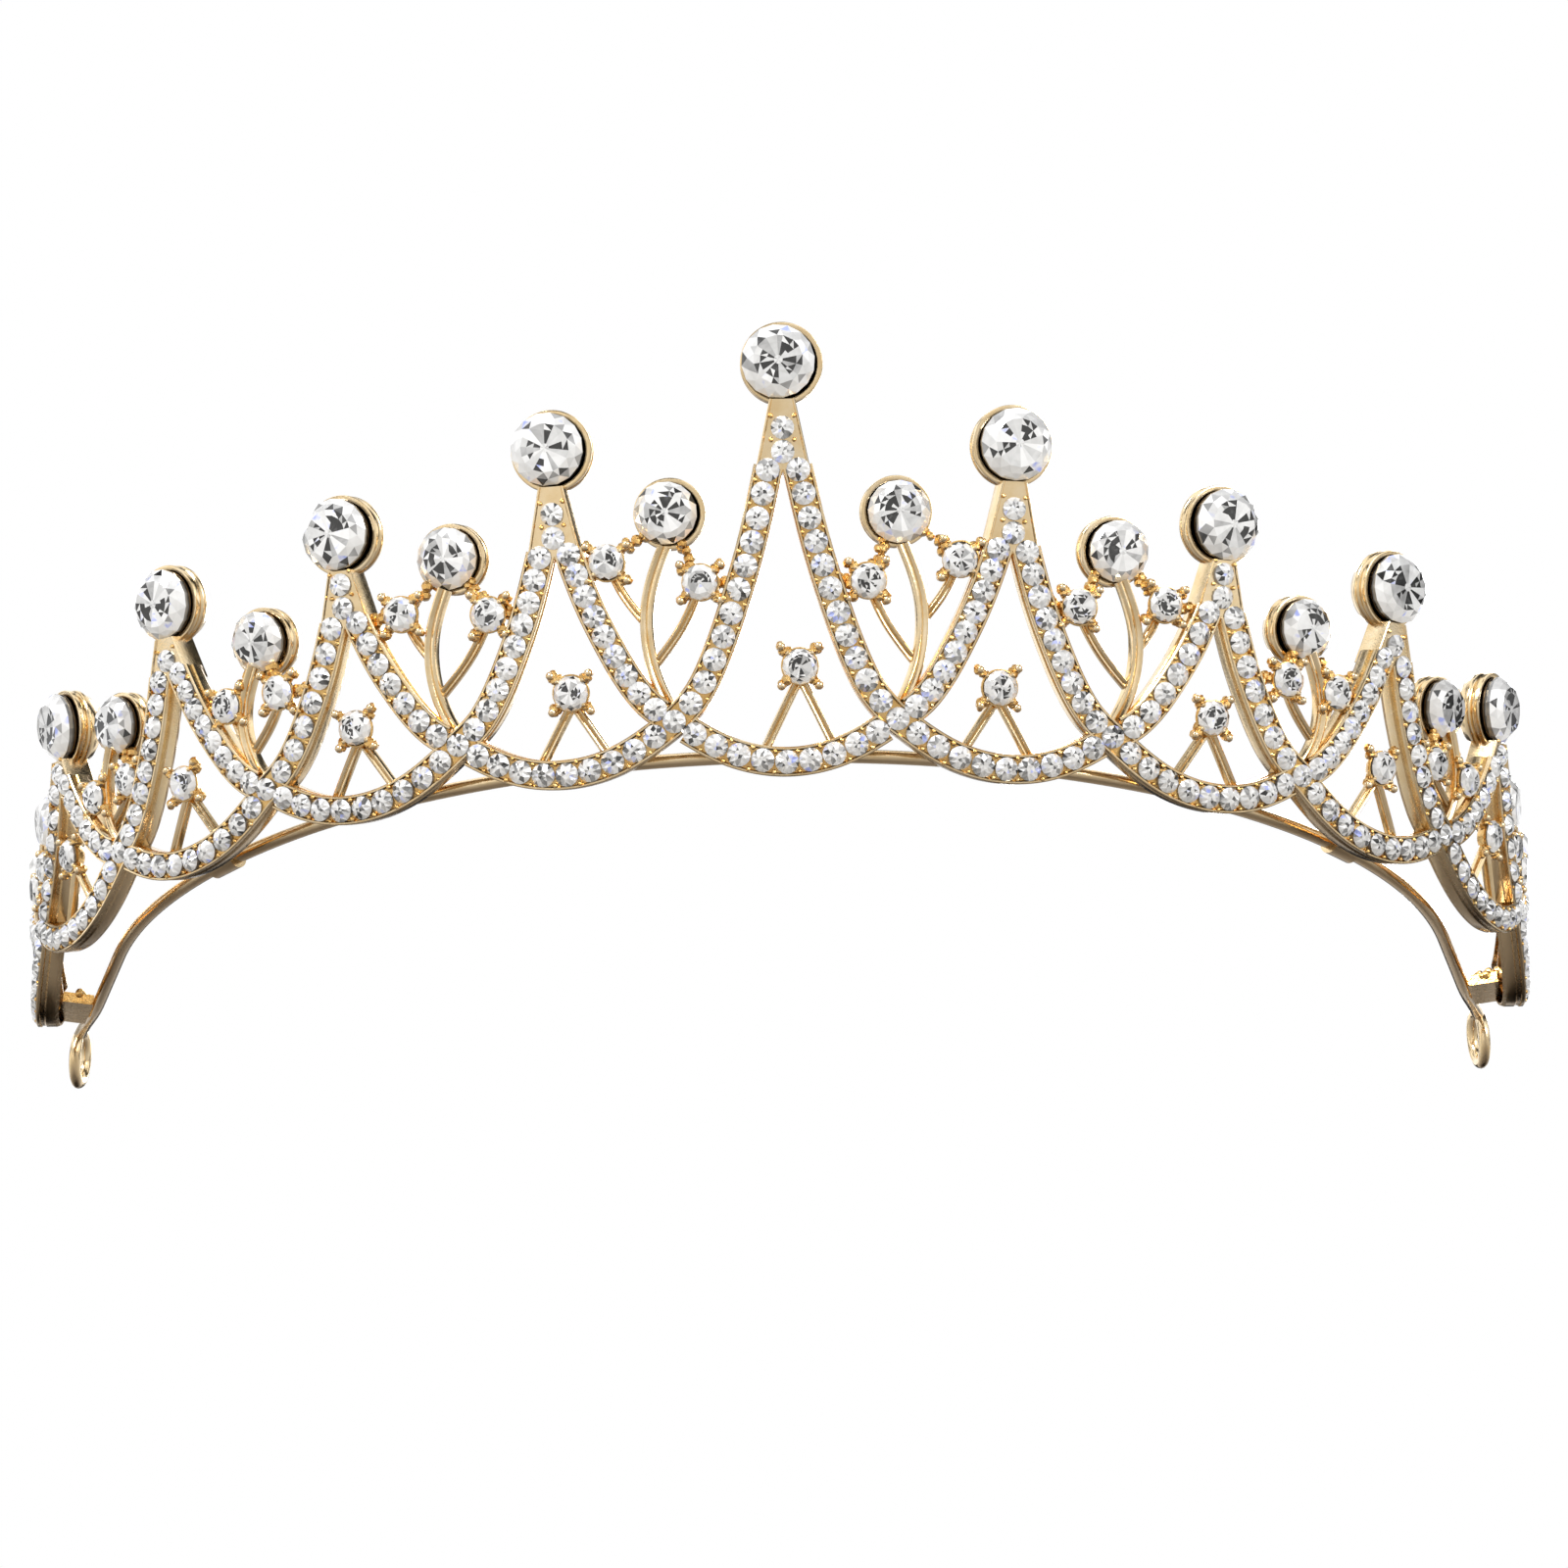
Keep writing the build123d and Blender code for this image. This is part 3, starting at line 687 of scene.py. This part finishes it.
def set_stone(shape, place, stone, proud, wedges, dark_share, shift):
    """A foil-backed stone glued into its cup, a little off its middle and a little tipped."""
    aside, upward = shift + random.gauss(0, 0.06), abs(shift) * 0.25 + random.gauss(0, 0.06)
    moved = Place(
        place.origin + place.x * aside + place.y * upward + place.z * proud,
        place.x, place.y, place.z,
    ).tipped(random.gauss(0, 0.035), random.gauss(0, 0.035))
    radius = stone / 2
    brilliant(shape, moved, stone, wedges, dark_share)
    # The foil cone's dark colour is painted shade in the gap round the stone
    shaded_foil_cone = [(0, -0.13), (0.97, -0.13), (0.98, -0.17), (0.62, -0.5), (0.1, -0.86), (0, -0.86)]
    turned_form(shape, moved, [(r * radius, z * radius) for r, z in shaded_foil_cone], spokes=32, slot=FOIL_SHADE)


pave = {"left": Shape(), "centre": Shape(), "right": Shape()}
peak_stones, spray_stones, claw_stones = Shape(), Shape(), Shape()
peaks = range(-SIDE_PEAKS, SIDE_PEAKS + 1)

for peak in peaks:
    height, fork = PEAK_HEIGHTS[abs(peak)], FORK_HEIGHTS[abs(peak)]
    small = pave[group_of(peak)]

    # the cup on its neck
    cup = Shape()
    neck_top = height - PEAK_STONE / 2
    neck_foot = fork - NECK_BELOW_FORK
    ups = np.linspace(neck_foot, neck_top, NECK_STATIONS)
    centres, across, outward = wall_frames(np.stack([np.full(NECK_STATIONS, peak * PITCH), ups], axis=1))
    widths = np.interp(ups, [neck_foot, neck_top], [NECK_FOOT, NECK_TOP])
    sweep(cup, centres, across, outward, [neck_profile(w) for w in widths])
    cup_place = wall(peak, height, PEAK_OUT)
    turned_form(cup, cup_place, cup_profile(PEAK_STONE, CUP_DEPTH), spokes=64)
    first = fork + NECK_STONE_RISE
    room = neck_top - first - NECK_STONE_ROOM
    for i in range(int(room / PAVE_PITCH) + 1 if room > 0 else 0):
        up = first + PAVE_PITCH * i
        small_stone(small, wall(peak, up, STONE_LIFT), PAVE_STONE / 2)
        for side in (-1, 1):
            spot = wall((peak * PITCH + side * NECK_BEAD_ASIDE) / PITCH, up + PAVE_PITCH / 2, 0.08).origin
            ball(cup, spot, BEAD * random.uniform(0.85, 1.1), slot=GRAIN_AND_SHADE, rings=5, spokes=8)
    cup.piece(f"cup_and_neck_{name_of(peak)}", METALS, SMOOTH_ANGLE, [f"peak_cup_{name_of(peak)}"])
    set_stone(peak_stones, cup_place, PEAK_STONE, CUP_STONE_PROUD, 16, 0.45, -0.28 if peak <= 0 else 0.28)

    # its two strands
    legs = Shape()
    for side in (-1, 1):
        path, spots = leg_path(peak, side)
        joins_end = peak * side == SIDE_PEAKS
        add_strand(legs, small, path, spots, 0, 0 if joins_end else -1, 1 if joins_end else 0)
    legs.piece(f"strands_{name_of(peak)}", METALS, SMOOTH_ANGLE, [f"arch_{name_of(peak)}"])

    # the arc under it, with the clawed stone that stands in the bell on two struts
    swag = Shape()
    path, spots = swag_path(peak)
    tip = int(math.copysign(1, peak)) if abs(peak) == SIDE_PEAKS else 0
    add_strand(swag, small, path, spots, 1, -1, tip)
    stone_x, stone_up = peak * PITCH + BELL_SHIFTS.get(peak, 0.0), BELL_STONE_HEIGHTS[abs(peak)]
    for side in (-1, 1):
        strut = [(stone_x, stone_up - STRUT_TOP), (stone_x + side * STRUT_SPREAD, STRUT_FOOT)]
        add_bar(swag, strut, 1.0, 0.9, -0.65)
    seat = wall(stone_x / PITCH, stone_up, CLAW_OUT)
    claw_seat(swag, seat)
    set_stone(claw_stones, seat, CLAW_STONE, SEAT_STONE_PROUD, 13, 0.5, 0.0)
    swag.piece(f"swag_and_claws_{name_of(peak)}", METALS, SMOOTH_ANGLE, [f"swag_{name_of(peak)}"])

for half in [peak + 0.5 for peak in range(-SIDE_PEAKS, SIDE_PEAKS)]:
    side, step = (1 if half > 0 else -1), int(abs(half))
    middle = half * PITCH
    rise = SPRAY_HEIGHTS[step] - CROSSING_HEIGHT
    spray = Shape()
    cup_place = wall(half, SPRAY_HEIGHTS[step], SPRAY_OUT)
    stem = [(middle + side * STEM_BOW * bow, CROSSING_HEIGHT + rise * up) for bow, up in STEM_SHAPE]
    add_bar(spray, stem, 1.3, 1.25, -0.5, 30)
    inner, outer = (-INNER_CLAWS[step][0], INNER_CLAWS[step][1]), OUTER_CLAWS[step]
    for (away, up), (bow, share) in ((inner, INNER_BRANCH), (outer, OUTER_BRANCHES[step])):
        fork = (middle + side * STEM_BOW * bow, CROSSING_HEIGHT + rise * share)
        spot = (middle + side * away, CROSSING_HEIGHT + up)
        bend = ((fork[0] + spot[0]) / 2 + (spot[0] - fork[0]) * 0.12, (fork[1] + spot[1]) / 2)
        add_bar(spray, [fork, bend, spot], 0.95, 0.9, -0.8)
        seat = wall(spot[0] / PITCH, spot[1], CLAW_OUT)
        claw_seat(spray, seat)
        toward_strand = math.copysign(1.0, away * side)
        granules_between(spray, seat.origin - seat.z * 0.8 + seat.x * toward_strand * 1.7,
                         seat.origin - seat.z * 1.0 + seat.x * toward_strand * 3.0)
        to_cup = cup_place.origin - seat.origin
        if np.linalg.norm(to_cup) < CUP_LINK_REACH:
            granules_between(spray, seat.origin + unit(to_cup) * SEAT_RADIUS - seat.z * 0.7,
                             cup_place.origin - unit(to_cup) * CUP_RADIUS - seat.z * 0.6)
        set_stone(claw_stones, seat, CLAW_STONE, SEAT_STONE_PROUD, 13, 0.5, 0.0)
    turned_form(spray, cup_place, cup_profile(SPRAY_STONE, CUP_DEPTH), spokes=56)
    set_stone(spray_stones, cup_place, SPRAY_STONE, CUP_STONE_PROUD, 16, 0.6, 0.2 * side)
    crossing = wall(half, CROSSING_HEIGHT, STONE_LIFT)
    small_stone(pave[group_of(half)], crossing, PAVE_STONE / 2)
    name = name_of(side * (step + 1))
    spray.piece(f"stem_and_cup_{name}", METALS, SMOOTH_ANGLE, [f"spray_{name}"])

peak_stones.piece("large_crystals", STONES, None, ["peak_stones"], "crystal")
spray_stones.piece("medium_crystals", STONES, None, ["spray_stones"], "crystal")
claw_stones.piece("clawed_crystals", STONES, None, ["claw_stones"], "crystal")
for group, shape in pave.items():
    shape.piece(f"small_crystals_{group}", STONES, None, [f"pave_stones_{group}"], "crystal")


# ---------- headband ----------


def tube(shape, line, radius, spokes=14):
    """A round wire along 3-D points, with a frame that never twists."""
    line = np.array(line, float)
    ahead = np.gradient(line, axis=0)
    ahead /= np.linalg.norm(ahead, axis=1)[:, None]
    across = [np.cross(ahead[0], [0, 0, 1.0])]
    across[0] /= np.linalg.norm(across[0])
    for t in ahead[1:]:
        a = across[-1] - t * (across[-1] @ t)
        across.append(a / np.linalg.norm(a))
    across = np.array(across)
    outward = np.cross(across, ahead)
    a = 2 * math.pi * np.arange(spokes) / spokes
    sweep(shape, line, across, outward, np.stack([radius * np.cos(a), radius * np.sin(a)], axis=1))


def eye(shape, centre, radius, wire, side, spokes=14, steps=48):
    """The closed loop at an end of the wire, flattened a little and leaning out at its foot."""
    points, faces = [], []
    for i in range(steps):
        a = 2 * math.pi * i / steps
        out = np.array([0.0, math.sin(a), math.cos(a)])
        for j in range(spokes):
            b = 2 * math.pi * j / spokes
            spot = out * (radius + wire * math.cos(b)) + np.array([wire * 0.95 * math.sin(b), 0, 0])
            points.append(centre + spot + np.array([side * 0.06 * (radius - spot[2]), 0, 0]))
            n, m = (i + 1) % steps, (j + 1) % spokes
            faces.append([i * spokes + j, i * spokes + m, n * spokes + m, n * spokes + j])
    shape.add(points, faces)


band = Shape()
reach_x, reach_y = HALF_WIDTH - BAND_INSIDE, DEPTH - BAND_BEHIND
height = FOOT_Z + BAND_LIFT
half_line = [(reach_x * math.sin(a), FRONT_Y + DEPTH - reach_y * math.cos(a), height)
             for a in np.linspace(0, BAND_TURN, 60)]
slope = (reach_x * math.cos(BAND_TURN)) / (reach_y * math.sin(BAND_TURN))
last_x, last_y, _ = half_line[-1]
eye_y, eye_z, loop = FRONT_Y + EYE_Y, EYE_OUTER, EYE_OUTER - BAND_RADIUS - EYE_INSET
run = eye_y - 0.8 * loop - last_y
miss = EYE_X - last_x - slope * run
for share in np.linspace(0.08, 1, 14):
    y = last_y + run * share
    climb = max(0.0, (share - 0.5) / 0.5)
    z = height + (eye_z + 0.6 * loop - height) * climb * climb * (3 - 2 * climb)
    half_line.append((last_x + slope * (y - last_y) + miss * share, y, z))
line = [(-x, y, z) for x, y, z in reversed(half_line[1:])] + half_line
tube(band, line, BAND_RADIUS)
for side in (-1, 1):
    eye(band, np.array([side * EYE_X, eye_y, eye_z]), loop, BAND_RADIUS, side)
band.piece("headband_wire", METALS, 60, ["headband"])

# The clips and the end brackets keep their CAD shape, with cast granules along the brackets' joints
for name in ("band_clips", "end_bracket_left", "end_bracket_right"):
    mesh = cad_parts[name].data
    mesh.materials.clear()
    mesh.materials.append(bright if name == "band_clips" else grain)
for side, name in ((-1, "left"), (1, "right")):
    low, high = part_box(f"end_bracket_{name}")
    lumps = Shape()
    middle = (np.array(low) + np.array(high)) / 2 / MM
    half_size = (np.array(high) - np.array(low)) / MM / 2
    for _ in range(BRACKET_GRANULES):
        share = [random.uniform(-0.7, 0.7), random.uniform(-0.8, 0.8), random.uniform(0.0, 0.7)]
        ball(lumps, middle + half_size * share, random.uniform(0.4, 0.7), slot=GRAIN_AND_SHADE, rings=5, spokes=8)
    lumps.piece(f"bracket_granules_{name}", METALS, SMOOTH_ANGLE)


# ---------- floor, light and camera ----------

floor_mesh = bpy.data.meshes.new("floor")
floor_mesh.from_pydata([(-8, -8, 0), (8, -8, 0), (8, 8, 0), (-8, 8, 0)], [], [(0, 1, 2, 3)])
floor = bpy.data.objects.new("floor", floor_mesh)
bpy.context.collection.objects.link(floor)
paper, tree, shader = material("floor_paper")
shader.inputs["Roughness"].default_value = 0.6
shade = ramp(tree, noise(tree, 30.0).outputs["Fac"], [(0.3, (0.54, 0.53, 0.51)), (0.7, (0.56, 0.55, 0.53))])
tree.links.new(shade.outputs["Color"], shader.inputs["Base Color"])
through = tree.nodes.new("ShaderNodeBsdfTransparent")
either = tree.nodes.new("ShaderNodeMixShader")
side_seen = tree.nodes.new("ShaderNodeNewGeometry")
tree.links.new(side_seen.outputs["Backfacing"], either.inputs["Fac"])
tree.links.new(shader.outputs["BSDF"], either.inputs[1])
tree.links.new(through.outputs["BSDF"], either.inputs[2])
tree.links.new(either.outputs["Shader"], tree.nodes["Material Output"].inputs["Surface"])
floor_mesh.materials.append(paper)

world = bpy.data.worlds.new("studio")
bpy.context.scene.world = world
world.use_nodes = True
tree = world.node_tree
sky = tree.nodes["Background"]
place = tree.nodes.new("ShaderNodeTexCoord")
soft = tree.nodes.new("ShaderNodeTexNoise")
soft.inputs["Scale"].default_value = 2.2
soft.inputs["Detail"].default_value = 1.0
tree.links.new(place.outputs["Generated"], soft.inputs["Vector"])
panels = ramp(tree, soft.outputs["Fac"], [(0.41, 0.03), (0.47, 0.35), (0.52, 1.15)])
tree.links.new(panels.outputs["Color"], sky.inputs["Color"])
sky.inputs["Strength"].default_value = 1.05
white = tree.nodes.new("ShaderNodeBackground")
white.inputs["Color"].default_value = (1, 1, 1, 1)
seen = tree.nodes.new("ShaderNodeLightPath")
either = tree.nodes.new("ShaderNodeMixShader")
tree.links.new(seen.outputs["Is Camera Ray"], either.inputs["Fac"])
tree.links.new(sky.outputs["Background"], either.inputs[1])
tree.links.new(white.outputs["Background"], either.inputs[2])
tree.links.new(either.outputs["Shader"], tree.nodes["World Output"].inputs["Surface"])


def lamp(name, place, size, power, target=(0, 0, 0.02)):
    light = bpy.data.lights.new(name, "AREA")
    light.shape, light.size, light.energy = "DISK", size, power
    made = bpy.data.objects.new(name, light)
    made.location = place
    made.rotation_euler = (Vector(target) - Vector(place)).to_track_quat("-Z", "Y").to_euler()
    bpy.context.collection.objects.link(made)


lamp("key_light", (-1.35, -2.25, 1.65), 0.90, 58.0)
lamp("fill_light", (1.8, -1.95, 0.30), 1.05, 23.0)
lamp("low_light", (0.15, -1.8, -1.05), 0.75, 16.0)
lamp("back_light", (0.6, 2.1, 1.5), 1.2, 28.0)

# The photograph's camera stands in front of the tiara and well below it, looking up
TIP, TURN, ROLL = -0.491, 0.015, 0.013
CAMERA_DISTANCE, CAMERA_RIGHT, CAMERA_DOWN = 0.3333, -0.00027, -0.00216
tip = Matrix.Rotation(TIP, 3, "X")
turn = Matrix.Rotation(TURN, 3, "Z")
roll = Matrix(((math.cos(ROLL), 0, -math.sin(ROLL)), (0, 1, 0), (math.sin(ROLL), 0, math.cos(ROLL))))
axes = (roll @ turn @ tip).transposed()
camera = bpy.data.objects.new("camera", bpy.data.cameras.new("camera"))
bpy.context.collection.objects.link(camera)
camera.data.sensor_width = 36.0
camera.data.lens = 78.75
camera.data.clip_start = 0.01
aim = Matrix((axes.col[0], axes.col[2], -axes.col[1])).transposed()
stand = Vector((0, FRONT_Y * MM, FOOT_Z * MM)) + axes @ Vector((CAMERA_RIGHT, -CAMERA_DISTANCE, CAMERA_DOWN))
camera.matrix_world = Matrix.Translation(stand) @ aim.to_4x4()
bpy.context.scene.camera = camera
bpy.context.scene.view_settings.view_transform = "Standard"
